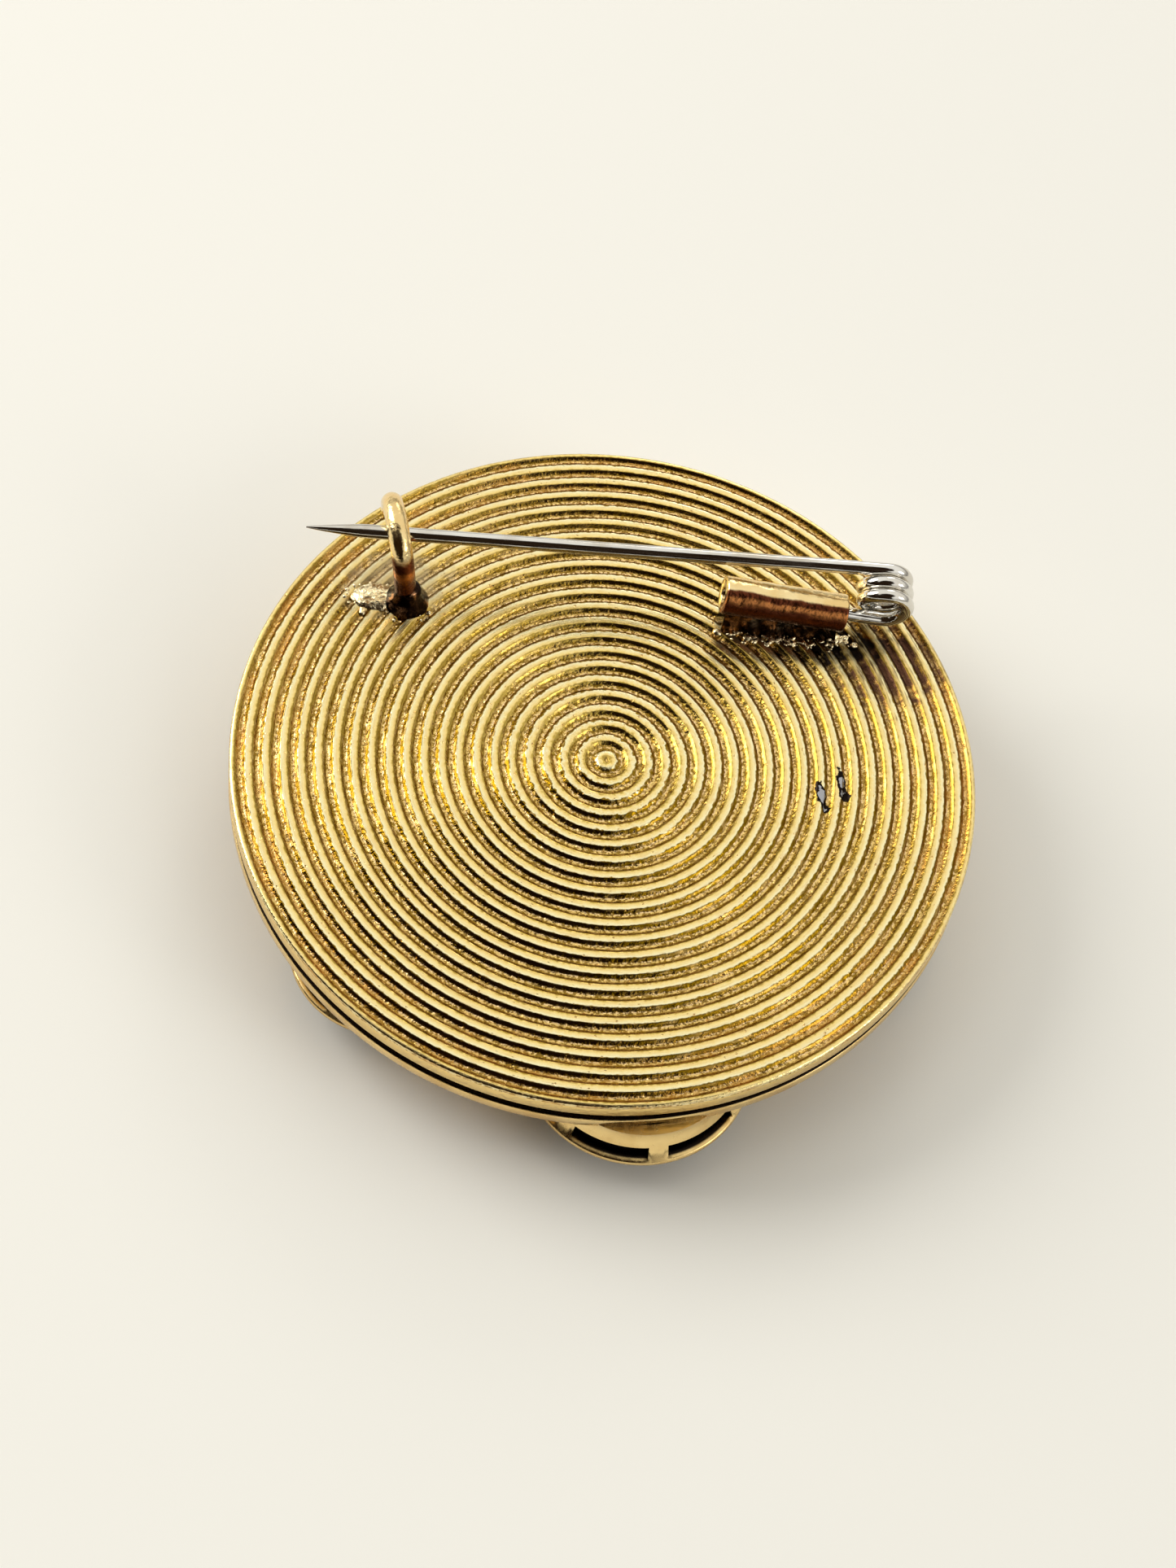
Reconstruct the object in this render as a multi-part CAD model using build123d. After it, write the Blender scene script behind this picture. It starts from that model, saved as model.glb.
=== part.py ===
"""A round lion brooch, lying on its front so that its ridged back and its pin face up.

Millimetres. The origin is the centre of the back, level with the tops of the ridges.
+Z points out of the back, +Y is up as worn, so the lion faces -Z with its crown at +Y.
"""
from build123d import *
from math import cos, degrees, radians, sin
import os

# Ridged back plate
plate_r = 21.0
back_t = 1.2            # its side wall
ridge_count = 21
groove_depth = 0.28
# One ridge across its pitch, as shares of the pitch from where it begins
top_from, top_to, floor_from, floor_to = 0.26, 0.66, 0.79, 1.16
rim_share = 0.54        # the last ridge is cut off by the rim here
ridge_pitch = plate_r / (ridge_count + rim_share)

# Recessed neck between the plates, and the front plate
neck_inset = 0.7
neck_r = plate_r - neck_inset
neck_wall = 1.0
plate_gap = 0.55        # the dark groove that shows all round
seat_gap = 0.05         # left between pieces that seat on each other
front_r = plate_r
front_t = 0.85
front_face = -(back_t + plate_gap + front_t)

# Settings: cups that flare towards the wearer's front, with slots cut in their walls
cup_h = 2.1
cup_wall = 0.6
cup_flare = 0.8         # wider at the rim than at the plate, on the radius
slot_h = 0.429 * cup_h
slot_below_plate = 0.357 * cup_h
rail_lip = 0.057 * cup_h             # the lower rail stands proud of the slotted wall
stone_gap = 0.08
stone_rise = 2.3        # every dome stands this high, so the brooch lies level on them
stone_back_gap = 0.1
# Rim radii and distances from the centre, which keep their shares of the plate
big_cup_r, big_cup_at = 0.305 * plate_r, 0.764 * plate_r
small_cup_r, small_cup_at = 0.257 * plate_r, 0.733 * plate_r
small_step = 61.25      # between neighbours, counted both ways from the top one
web_w = 1.08            # metal left between two slots
big = dict(at=big_cup_at, rim_r=big_cup_r, slot_count=7)
small = dict(at=small_cup_at, rim_r=small_cup_r, slot_count=6)
# Directions are in degrees, seen from behind, of the setting and of one of its webs
SETTINGS = [
    dict(node="stone_bottom", angle=270.0, web_angle=272.6, **big),
    dict(node="stone_1", angle=90.0 - 2 * small_step, web_angle=109.3 - 2 * small_step, **small),
    dict(node="stone_2", angle=90.0 - small_step, web_angle=109.3 - small_step, **small),
    dict(node="stone_3", angle=90.0, web_angle=109.3, **small),
    dict(node="stone_4", angle=90.0 + small_step, web_angle=109.3 + small_step, **small),
    dict(node="stone_5", angle=90.0 + 2 * small_step, web_angle=109.3 + 2 * small_step, **small),
]

# Steel pin: wire, spring coil and point. The pin is soldered on a few degrees off level.
pin_turn = -8.9
pin_across = 11.52      # how far above the centre the pin runs
pin_z = 4.2
wire_d = 0.8
point_inset, coil_inset = 3.4, 5.5   # how far inside the rim the point and the coil lie
point_at, coil_at = point_inset - plate_r, plate_r - coil_inset
point_l, point_r = 3.2, 0.06
coil_r = 1.25           # of the wire's middle line
coil_pitch = 0.87
coil_turn_count = 2          # whole turns, then half a turn more
arm_from_coil = 1.7     # the arm begins here, clear of the coil's turns
arm_gap = 0.1           # between the coil's end and the arm, one wire on the real pin
arm_at = coil_at - arm_from_coil
coil_z = pin_z - coil_r
tail_across = pin_across - coil_turn_count * coil_pitch

# Hinge tube, which holds the wire's tail, and the solder under it
tube_r, tube_l = 1.1, 7.2
tube_tilt = 8.5         # its far end is raised
tube_from_coil = 2.2    # from the coil's axis to the tube's mouth
tail_in_tube = 4.0
tail_clearance = 0.05
foot_front, foot_back = 0.85, 1.0
foot_top = 0.55
foot_inset = 0.35
solder_root = 0.6       # how deep soldered pieces reach into the plate

# Hook: wire stem, a crook over the pin, and a rounded end
hook_from_point = 5.96
hook_short_of_pin = 1.88
hook_at, hook_across = point_at + hook_from_point, pin_across - hook_short_of_pin
hook_wire_r = 0.62
hook_stem, hook_crook_r, hook_sweep = 3.3, 2.1, 175.0
hook_yaw, hook_lean = 12.3, 5.5
bead_r, bead_top_r, bead_h = 1.25, 0.64, 1.5
splash_r, splash_h, splash_off = 1.5, 0.3, 1.9

# Lion's head, in relief on a low disc
head_seat_gap = 0.05
face_r = 0.219 * plate_r             # half the face's width
head_disc_r, head_disc_h = 1.61 * face_r, 1.0
relief_h = 3.6          # from the disc's back to the nose
lock_widest = 0.4       # where a lock is widest, as a share of its length

# Rounded forms of the face, each the cap of a ball. Places and radii are shares of face_r,
# and the cap's top is a share of relief_h. Side 0 is single, the others are mirrored.
BALLS = [
    dict(part="skull", side=0.00, up=0.08, radius=1.10, top=0.76),
    dict(part="upper lip", side=0.16, up=-0.38, radius=0.36, top=0.94),
    dict(part="nose", side=0.00, up=-0.10, radius=0.19, top=1.00),
    dict(part="chin", side=0.00, up=-0.74, radius=0.26, top=0.70),
    dict(part="cheek", side=0.56, up=-0.16, radius=0.44, top=0.74),
    dict(part="eye", side=0.36, up=0.22, radius=0.12, top=0.82),
    dict(part="ear", side=0.84, up=0.86, radius=0.30, top=0.62),
]
# Ridges of the face, from one end (side, up, middle's height) with its radius to the other
RIDGES = [
    dict(part="nose", a=(0.00, 0.58, 0.52), a_radius=0.22, b=(0.00, -0.08, 0.78), b_radius=0.17),
    dict(part="brow", a=(0.10, 0.40, 0.62), a_radius=0.13, b=(0.62, 0.54, 0.46), b_radius=0.10),
]
# Mane, in rings of pointed locks. The first lock's direction is in degrees, its ends and its
# half width are shares of face_r, and its height is a share of relief_h.
MANE = [
    dict(lock_count=6, angle=0.0, root=1.00, tip=2.80, half_w=0.26, height=0.26),
    dict(lock_count=12, angle=15.0, root=1.00, tip=2.30, half_w=0.24, height=0.32),
    dict(lock_count=18, angle=10.0, root=0.90, tip=1.95, half_w=0.22, height=0.42),
    dict(lock_count=14, angle=0.0, root=0.70, tip=1.60, half_w=0.20, height=0.52),
]


def spin(points):
    """A closed outline of radius and height, turned into a solid round the Z axis."""
    outline = Plane.XZ * make_face(Polyline(*points, close=True))
    return revolve(outline, axis=Axis.Z)


def in_pin_frame(solid):
    """From the frame where the pin runs along X to the brooch's own."""
    return Rot(0, 0, pin_turn) * solid


def rod(start, end, radius, end_radius=None):
    """A round rod, or a cone, between two points."""
    axis = Vector(*end) - Vector(*start)
    face = Plane(origin=start, z_dir=axis)
    if end_radius is None:
        return extrude(face * Circle(radius), axis.length)
    taper = Pos(0, 0, axis.length / 2) * Cone(radius, end_radius, axis.length)
    return face * taper


def ridged_disc():
    points = [(0, 0)]
    for ridge in range(ridge_count + 1):
        start = ridge * ridge_pitch
        if ridge:
            points.append((start + top_from * ridge_pitch, 0))
        if ridge < ridge_count:
            points.append((start + top_to * ridge_pitch, 0))
            points.append((start + floor_from * ridge_pitch, -groove_depth))
            points.append((start + floor_to * ridge_pitch, -groove_depth))
    points += [(plate_r, 0), (plate_r, -back_t), (neck_r, -back_t)]
    neck_end = -(back_t + plate_gap - seat_gap)
    points += [(neck_r, neck_end), (neck_r - neck_wall, neck_end), (neck_r - neck_wall, -back_t)]
    return spin(points + [(0, -back_t)])


def tube_point(from_mouth):
    """A point on the tube's axis, counted from its mouth towards its far end."""
    slope = radians(tube_tilt)
    tail_start = coil_at - coil_r * sin(slope)
    along = (tail_start - (coil_at - tube_from_coil)) / cos(slope) + from_mouth
    return (
        tail_start - along * cos(slope),
        tail_across,
        coil_z - coil_r * cos(slope) + along * sin(slope),
    )


def hinge_tube():
    """The tube on its web of solder. Its bore is cut once it is on the plate."""
    sections = []
    for from_mouth in (foot_inset, tube_l - foot_inset):
        x, y, z = tube_point(from_mouth)
        corners = [(y - foot_front, -solder_root), (y + foot_back, -solder_root)]
        corners += [(y + foot_top, z), (y - foot_top, z)]
        sections.append(make_face(Polyline(*[(x, b, c) for b, c in corners], close=True)))
    return rod(tube_point(0), tube_point(tube_l), tube_r) + loft(sections, ruled=True)


def hook_point(along, height):
    """A point of the hook's plane, from its foot: along its opening and up its stem."""
    yaw, lean = radians(hook_yaw), radians(hook_lean)
    x = -along * sin(yaw) - height * sin(lean)
    return (x, along * cos(yaw), height * cos(lean))


def hook():
    """Stem, crook and rounded end, with the bead and the splash of solder at its foot.

    It stands on the origin and is moved to its place as one."""
    def crook_point(angle):
        a = radians(180 - angle)
        return hook_point(hook_crook_r * (1 + cos(a)), hook_stem + hook_crook_r * sin(a))

    stem = Edge.make_line(hook_point(0, -solder_root), hook_point(0, hook_stem))
    crook = Edge.make_three_point_arc(crook_point(0), crook_point(hook_sweep / 2), crook_point(hook_sweep))
    wire = Wire([stem, crook])
    section = Plane(origin=wire @ 0, z_dir=wire % 0) * Circle(hook_wire_r)
    on_base = (Align.CENTER, Align.CENTER, Align.MIN)
    half_ball = Sphere(hook_wire_r, arc_size1=0, align=on_base)
    body = sweep(section, path=wire) + Plane(origin=wire @ 1, z_dir=wire % 1) * half_ball
    body += rod(hook_point(0, -solder_root), hook_point(0, bead_h), bead_r, bead_top_r)
    cap_r = (splash_r**2 + splash_h**2) / (2 * splash_h)
    splash = Pos(-splash_off, 0, splash_h - cap_r) * Sphere(cap_r)
    keep = Pos(-splash_off, 0, 0) * Cylinder(cap_r, 2 * solder_root)
    return body + (splash & keep)


def back_plate():
    plate = ridged_disc() + in_pin_frame(hinge_tube())
    plate += in_pin_frame(Pos(hook_at, hook_across, 0) * hook())
    bore = rod(tube_point(-wire_d), tube_point(tube_l + wire_d), wire_d / 2 + tail_clearance)
    return plate - in_pin_frame(bore)


def half_ring(across_from, across_to, side):
    """Half a turn of the coil. The right half runs down, the left half climbs to the next."""
    top, bottom = coil_z + coil_r, coil_z - coil_r
    start, end = (top, bottom) if side > 0 else (bottom, top)
    middle_across = (across_from + across_to) / 2
    reach = ((across_to - across_from) ** 2 / 4 + coil_r**2) ** 0.5
    begin, finish = (coil_at, across_from, start), (coil_at, across_to, end)
    arc = Edge.make_three_point_arc(begin, (coil_at + side * reach, middle_across, coil_z), finish)
    section = Plane(origin=begin, z_dir=(side, 0, 0)) * Circle(wire_d / 2)
    return sweep(section, path=arc)


def pin_coil():
    coil = half_ring(pin_across, pin_across, 1)
    for turn in range(coil_turn_count):
        across = pin_across - turn * coil_pitch
        coil += half_ring(across, across - coil_pitch, -1)
        coil += half_ring(across - coil_pitch, across - coil_pitch, 1)
    coil += rod((coil_at, pin_across, pin_z), (arm_at, pin_across, pin_z), wire_d / 2)
    slope = radians(tube_tilt)
    rise = [
        (coil_at - coil_r * sin(slope * share), tail_across, coil_z - coil_r * cos(slope * share))
        for share in (0, 0.5, 1)
    ]
    bend = Edge.make_three_point_arc(*rise)
    coil += sweep(Plane(origin=rise[0], z_dir=(-1, 0, 0)) * Circle(wire_d / 2), path=bend)
    return in_pin_frame(coil + rod(rise[-1], tube_point(tail_in_tube), wire_d / 2))


def pin_arm():
    shoulder = (point_at + point_l, pin_across, pin_z)
    arm = rod((arm_at - arm_gap, pin_across, pin_z), shoulder, wire_d / 2)
    return in_pin_frame(arm + rod(shoulder, (point_at, pin_across, pin_z), wire_d / 2, point_r))


def cup(rim_r, slot_count, web_angle):
    """One closed-backed setting about its own axis, from inside the front plate to its rim."""
    top, rim = front_face, front_face - cup_h
    seat = top + front_t / 2
    slot_low = top - slot_below_plate - slot_h
    root_r = rim_r - cup_flare
    wall = spin([
        (0, seat), (root_r, seat), (root_r, top),
        (rim_r - rail_lip, slot_low), (rim_r, slot_low - rail_lip), (rim_r, rim + rail_lip),
        (rim_r - rail_lip, rim), (rim_r - cup_wall, rim), (root_r - cup_wall, top), (0, top),
    ])
    pitch = 360 / slot_count
    middle_r = rim_r - cup_flare / 2
    web = degrees(web_w / middle_r)
    cutter = Pos(middle_r, slot_low + slot_h / 2) * Rectangle(2 * (cup_wall + cup_flare), slot_h)
    slot = revolve(Plane.XZ * cutter, axis=Axis.Z, revolution_arc=pitch - web)
    for k in range(slot_count):
        wall -= Rot(0, 0, web_angle + web / 2 + k * pitch) * slot
    return wall


def stone(rim_r):
    """A domed stone that fills its cup behind the slots."""
    seat, rim = front_face - stone_back_gap, front_face - cup_h
    girdle_r = rim_r - cup_wall - stone_gap
    dome_r = (girdle_r**2 + stone_rise**2) / (2 * stone_rise)
    dome = Pos(0, 0, rim - stone_rise + dome_r) * Sphere(dome_r)
    dome &= Pos(0, 0, rim - stone_rise / 2) * Cylinder(2 * girdle_r, stone_rise)
    return spin([(0, seat), (girdle_r - cup_flare, seat), (girdle_r, rim), (0, rim)]) + dome


def in_place(setting, solid):
    """A cup or a stone, moved from its own axis to where its setting is."""
    a = radians(setting["angle"])
    return Pos(setting["at"] * cos(a), setting["at"] * sin(a), 0) * solid


def front_plate():
    top = -(back_t + plate_gap)
    plate = Pos(0, 0, top - front_t / 2) * Cylinder(front_r, front_t)
    for setting in SETTINGS:
        one = cup(setting["rim_r"], setting["slot_count"], setting["web_angle"])
        plate += in_place(setting, one)
    return plate


def lock(start, end, half_w, height):
    """A pointed lock with a keel, lying along X."""
    middle = start + lock_widest * (end - start)
    plan = make_face(Polyline((start, 0), (middle, half_w), (end, 0), (middle, -half_w), close=True))
    eave = height / 2
    gable = [(-half_w, 0), (half_w, 0), (half_w, eave), (0, height), (-half_w, eave)]
    roof = make_face(Polyline(*gable, close=True))
    return extrude(plan, height) & extrude(Plane.YZ * roof, end)


def lion_head():
    """Seen in its own frame, +Z out of the face, then turned to face -Z."""
    forms = []
    for ring in MANE:
        ends = ring["root"] * face_r, ring["tip"] * face_r
        one = lock(*ends, ring["half_w"] * face_r, ring["height"] * relief_h)
        for k in range(ring["lock_count"]):
            forms.append(Rot(0, 0, ring["angle"] + k * 360 / ring["lock_count"]) * one)
    for ball in BALLS:
        radius = ball["radius"] * face_r
        for side in {ball["side"], -ball["side"]}:
            middle = (side * face_r, ball["up"] * face_r, ball["top"] * relief_h - radius)
            forms.append(Pos(*middle) * Sphere(radius))
    for ridge in RIDGES:
        for way in {1, -1} if ridge["b"][0] else {1}:
            a, b = [
                (way * side * face_r, up * face_r, out * relief_h)
                for side, up, out in (ridge["a"], ridge["b"])
            ]
            forms.append(rod(a, b, ridge["a_radius"] * face_r, ridge["b_radius"] * face_r))
    head = Pos(0, 0, head_disc_h / 2) * Cylinder(head_disc_r, head_disc_h) + forms
    head &= Pos(0, 0, relief_h) * Box(2 * plate_r, 2 * plate_r, 2 * relief_h)
    return Pos(0, 0, front_face - head_seat_gap) * Rot(0, 180, 0) * head


def write(name, solid):
    export_step(solid, f"parts/{name}.step")


os.makedirs("parts", exist_ok=True)
write("back_plate", back_plate())
write("pin_coil", pin_coil())
write("pin_arm", pin_arm())
write("front_plate", front_plate())
write("lion_head", lion_head())
for setting in SETTINGS:
    write(setting["node"], in_place(setting, stone(setting["rim_r"])))
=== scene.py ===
# %% [markdown]
# # A round lion brooch, seen from its ridged back
#
# The brooch lies on its front on a pale table, so its back faces up: concentric ridges, a
# wire hook, and a steel safety pin held in a short tube. The front, underneath, has a lion's
# head in relief and six domed stones in pierced settings. The CAD model fixes every size.
# This file dresses it in Blender, in the same frame, in metres.

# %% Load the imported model
import random
from math import asin, atan2, cos, pi, radians, sin, sqrt, tau

import bmesh
import bpy
import numpy as np
from mathutils import Matrix, Vector, noise


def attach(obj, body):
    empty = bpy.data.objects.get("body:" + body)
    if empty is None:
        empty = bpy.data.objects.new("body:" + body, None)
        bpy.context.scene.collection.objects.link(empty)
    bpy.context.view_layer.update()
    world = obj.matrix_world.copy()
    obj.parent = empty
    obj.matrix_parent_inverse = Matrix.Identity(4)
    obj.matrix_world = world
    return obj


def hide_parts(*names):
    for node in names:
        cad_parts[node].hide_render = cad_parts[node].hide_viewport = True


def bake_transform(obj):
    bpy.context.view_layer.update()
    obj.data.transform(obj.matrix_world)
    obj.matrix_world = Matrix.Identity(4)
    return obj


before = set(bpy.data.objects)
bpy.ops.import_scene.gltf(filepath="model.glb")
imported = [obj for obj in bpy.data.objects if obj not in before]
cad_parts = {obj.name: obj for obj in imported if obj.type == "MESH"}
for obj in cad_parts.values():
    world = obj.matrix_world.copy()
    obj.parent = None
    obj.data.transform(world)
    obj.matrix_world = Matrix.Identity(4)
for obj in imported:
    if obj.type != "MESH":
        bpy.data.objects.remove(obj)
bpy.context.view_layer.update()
scene = bpy.context.scene
MM = 0.001
print("CAD nodes:", sorted(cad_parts))

# %% [markdown]
# ## Camera
#
# A camera is three directions and a place. They come from fitting circles to the rim and the
# ridges of the photograph, which gives how far the back is tilted away. The lens is long,
# about 79 mm, and keeps the round outline nearly an ellipse from a little under 20 cm.

# %% Camera at the photograph's angle, its place in the brooch's frame
camera_right = Vector((0.98626, -0.13160, 0.09983))
camera_up = Vector((0.06699, 0.87111, 0.48648))
camera_forward = Vector((0.15099, 0.47311, -0.86797))
camera_place = Vector((-30.280, -92.441, 167.291)) * MM

camera_data = bpy.data.cameras.new("camera")
camera_data.sensor_width = 36
camera_data.lens = 79.34
camera_data.clip_start, camera_data.clip_end = 0.005, 10
camera = bpy.data.objects.new("camera", camera_data)
axes = Matrix((camera_right, camera_up, -camera_forward)).transposed()
camera.matrix_world = Matrix.Translation(camera_place) @ axes.to_4x4()
scene.collection.objects.link(camera)
scene.camera = camera
print("camera", round(camera_place.length / MM), "mm from the brooch")

# %% [markdown]
# ## Table and light
#
# Metal has almost no colour of its own: it shows what stands round it. The flat tops of the
# ridges mirror the sky above the far edge, and the steep walls mirror the room near the
# horizon. So the room is bright all round, but dark on the near left side, and that one dark
# side draws the black bands in the grooves. Another dark patch, round and straight behind
# the camera, stands for the camera itself.

# %% Small helpers that place shader nodes
def add(tree, kind, inputs=None, **settings):
    """A node of this kind. Inputs are values, or sockets to link from."""
    made = tree.nodes.new("ShaderNode" + kind)
    for name, value in settings.items():
        setattr(made, name, value)
    for name, value in (inputs or {}).items():
        if isinstance(value, bpy.types.NodeSocket):
            tree.links.new(value, made.inputs[name])
        else:
            made.inputs[name].default_value = value
    return made


def math(tree, operation, a, b=0.0):
    """One operation on two numbers or sockets."""
    return add(tree, "Math", {0: a, 1: b}, operation=operation).outputs[0]


def ramp(tree, value, start, end, low=0.0, high=1.0):
    """Value from start to end becomes low to high, with a soft step."""
    inputs = {"Value": value, "From Min": start, "From Max": end, "To Min": low, "To Max": high}
    return add(tree, "MapRange", inputs, interpolation_type="SMOOTHSTEP").outputs[0]


def mix(tree, share, a, b):
    """Colours a and b, mixed."""
    return add(tree, "Mix", {0: share, 6: a, 7: b}, data_type="RGBA").outputs[2]


# %% A bright room with one dark side
room_light = 0.96
sky_colour = (1.0, 0.985, 0.93, 1)
dark_colour = (0.022, 0.012, 0.006, 1)
dark_azimuth = radians(221)
dark_side = Vector((cos(dark_azimuth), sin(dark_azimuth), 0))
# Each dark patch fades in between two numbers: cosines of the angle to its middle, or heights
side_fade, side_top_fade, patch_fade = (0.50, 0.58), (0.82, 0.70), (0.84, 0.88)
low_light, full_light_height = 0.30, 0.5    # near the floor, as a share, and where it is full

world = bpy.data.worlds.new("room")
scene.world = world
world.use_nodes = True
tree = world.node_tree
tree.nodes.clear()
direction = add(tree, "TexCoord").outputs["Generated"]
height = add(tree, "SeparateXYZ", {0: direction}).outputs["Z"]
flat = add(tree, "VectorMath", {0: direction, 1: (1, 1, 0)}, operation="MULTIPLY").outputs[0]
flat = add(tree, "VectorMath", {0: flat}, operation="NORMALIZE").outputs[0]
towards = add(tree, "VectorMath", {0: flat, 1: dark_side}, operation="DOT_PRODUCT").outputs["Value"]
dark = math(tree, "MULTIPLY", ramp(tree, towards, *side_fade), ramp(tree, height, *side_top_fade))
to_camera = tuple(camera_place.normalized())
facing = add(tree, "VectorMath", {0: direction, 1: to_camera}, operation="DOT_PRODUCT").outputs["Value"]
dark = math(tree, "MAXIMUM", dark, ramp(tree, facing, *patch_fade))
sky = mix(tree, dark, sky_colour, dark_colour)
strength = ramp(tree, height, 0.0, full_light_height, low_light * room_light, room_light)
background = add(tree, "Background", {"Color": sky, "Strength": strength})
add(tree, "OutputWorld", {"Surface": background.outputs[0]})
scene.view_settings.view_transform = "Standard"
print("room", world.name, "has", len(tree.nodes), "nodes")

# %% Softboxes: a wide one low on the left, and small ones on the right and behind
softbox_colour = (1.0, 0.98, 0.94)


def softbox(name, azimuth, elevation, away, size, brightness):
    """A round lamp that shines on the brooch. Brightness is how white it looks in the metal."""
    a, e = radians(azimuth), radians(elevation)
    place = away * Vector((cos(a) * cos(e), sin(a) * cos(e), sin(e)))
    data = bpy.data.lights.new(name, "AREA")
    data.shape, data.size = "DISK", size
    data.energy = brightness * pi * pi * (size / 2) ** 2
    data.color = softbox_colour
    lamp = bpy.data.objects.new(name, data)
    lamp.location = place
    lamp.rotation_euler = (-place).to_track_quat("-Z", "Y").to_euler()
    scene.collection.objects.link(lamp)
    print(name, "shines with", round(data.energy, 2), "W")


softbox("softbox_left", azimuth=146, elevation=29, away=0.62, size=0.46, brightness=4.5)
softbox("softbox_right", azimuth=324, elevation=26, away=0.60, size=0.22, brightness=3.5)
softbox("softbox_far", azimuth=66, elevation=26, away=0.65, size=0.20, brightness=2.5)

# %% Pale table
table_z, table_half = -7.0 * MM, 1.5
table_colour = (0.97, 0.955, 0.895, 1)
bm = bmesh.new()
bmesh.ops.create_grid(bm, x_segments=1, y_segments=1, size=table_half)
bmesh.ops.translate(bm, vec=(0, 0, table_z), verts=bm.verts)
mesh = bpy.data.meshes.new("table")
bm.to_mesh(mesh)
bm.free()
table = bpy.data.objects.new("table", mesh)
scene.collection.objects.link(table)

paper = bpy.data.materials.new("pale_table")
paper.use_nodes = True
shader = paper.node_tree.nodes["Principled BSDF"]
shader.inputs["Base Color"].default_value = table_colour
shader.inputs["Roughness"].default_value = 0.9
mesh.materials.append(paper)
print("table", round(-table_z / MM, 1), "mm under the tops of the ridges")

# %% [markdown]
# ## Finishes
#
# Four kinds of finish cover the brooch: gold plate over the struck, drawn and cast parts,
# steel wire, solder that is burnt or bright, and black glass. Small effects that they share
# are node groups: the grain of cast metal, tarnish in soft patches, and a ragged stain round
# a point. Each is built once, and every material gives it its own numbers.

# %% Group helper
def group(name, inputs, outputs):
    """An empty node group, its input node and its output node."""
    made = bpy.data.node_groups.new(name, "ShaderNodeTree")
    kinds = {float: "NodeSocketFloat", tuple: "NodeSocketColor", Vector: "NodeSocketVector"}
    for label, value in inputs.items():
        socket = made.interface.new_socket(label, in_out="INPUT", socket_type=kinds[type(value)])
        socket.default_value = value
    for label, kind in outputs.items():
        made.interface.new_socket(label, in_out="OUTPUT", socket_type=kinds[kind])
    return made, made.nodes.new("NodeGroupInput").outputs, made.nodes.new("NodeGroupOutput").inputs


def use(tree, made, **inputs):
    """This group placed in a material, with its own values."""
    placed = tree.nodes.new("ShaderNodeGroup")
    placed.node_tree = made
    for name, value in inputs.items():
        name = name.replace("_", " ")
        if isinstance(value, bpy.types.NodeSocket):
            tree.links.new(value, placed.inputs[name])
        else:
            placed.inputs[name].default_value = value
    return placed.outputs


def place_in_mm(tree):
    """Where a point is on the brooch, in millimetres."""
    spot = add(tree, "TexCoord").outputs["Object"]
    return add(tree, "VectorMath", {0: spot, "Scale": 1 / MM}, operation="SCALE").outputs[0]


# %% Cast grain: small bumps of metal, so many to the millimetre
cast_grain, given, out = group(
    "cast_grain", {"Per mm": 6.0, "Coarse share": 0.5}, {"Height": float, "Pits": float}
)
spot = place_in_mm(cast_grain)
fine = add(cast_grain, "TexNoise", {"Vector": spot, "Scale": given["Per mm"], "Detail": 4.0})
coarse_size = math(cast_grain, "MULTIPLY", given["Per mm"], 0.37)
coarse = add(cast_grain, "TexNoise", {"Vector": spot, "Scale": coarse_size, "Detail": 1.0})
both = add(cast_grain, "Mix", {0: given["Coarse share"], 2: fine.outputs[0], 3: coarse.outputs[0]})
cells = add(cast_grain, "TexVoronoi", {"Vector": spot, "Scale": given["Per mm"]})
cast_grain.links.new(both.outputs[0], out["Height"])
cast_grain.links.new(ramp(cast_grain, cells.outputs["Distance"], 0.12, 0.28, 1.0, 0.0), out["Pits"])

# %% Tarnish: a second colour in soft patches
tarnish, given, out = group(
    "tarnish",
    {"Metal": (1.0, 1.0, 1.0, 1.0), "Tarnish": (0.5, 0.3, 0.1, 1.0), "Amount": 0.5, "Patches per mm": 0.3},
    {"Color": tuple, "Mask": float},
)
patches = {"Vector": place_in_mm(tarnish), "Scale": given["Patches per mm"], "Detail": 3.0}
patch = ramp(tarnish, add(tarnish, "TexNoise", patches).outputs[0], 0.35, 0.7)
patch = math(tarnish, "MULTIPLY", patch, given["Amount"])
tarnish.links.new(mix(tarnish, patch, given["Metal"], given["Tarnish"]), out["Color"])
tarnish.links.new(patch, out["Mask"])

# %% Stain: a ragged patch round a point
stain, given, out = group(
    "stain",
    {"Centre": Vector((0, 0, 0)), "Reach": 1.0, "Ragged": 0.4, "Stretch": Vector((1, 1, 1))},
    {"Mask": float},
)
spot = place_in_mm(stain)
away = add(stain, "VectorMath", {0: spot, 1: given["Centre"]}, operation="SUBTRACT").outputs[0]
away = add(stain, "VectorMath", {0: away, 1: given["Stretch"]}, operation="MULTIPLY").outputs[0]
distance = add(stain, "VectorMath", {0: away}, operation="LENGTH").outputs["Value"]
wobble = add(stain, "TexNoise", {"Vector": spot, "Scale": 1.6, "Detail": 5.0}).outputs[0]
wobble = math(stain, "MULTIPLY", math(stain, "SUBTRACT", wobble, 0.5), given["Ragged"])
wobble = math(stain, "MULTIPLY", wobble, math(stain, "MULTIPLY", given["Reach"], 4.0))
edge = math(stain, "DIVIDE", math(stain, "ADD", distance, wobble), given["Reach"])
stain.links.new(ramp(stain, edge, 0.35, 1.0, 1.0, 0.0), out["Mask"])


# %% A metal material, ready for its colour, roughness and bump
def metal(name, metallic=1.0):
    made = bpy.data.materials.new(name)
    made.use_nodes = True
    shader = made.node_tree.nodes["Principled BSDF"]
    shader.label = name
    shader.inputs["Metallic"].default_value = metallic
    return made, made.node_tree, shader


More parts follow.
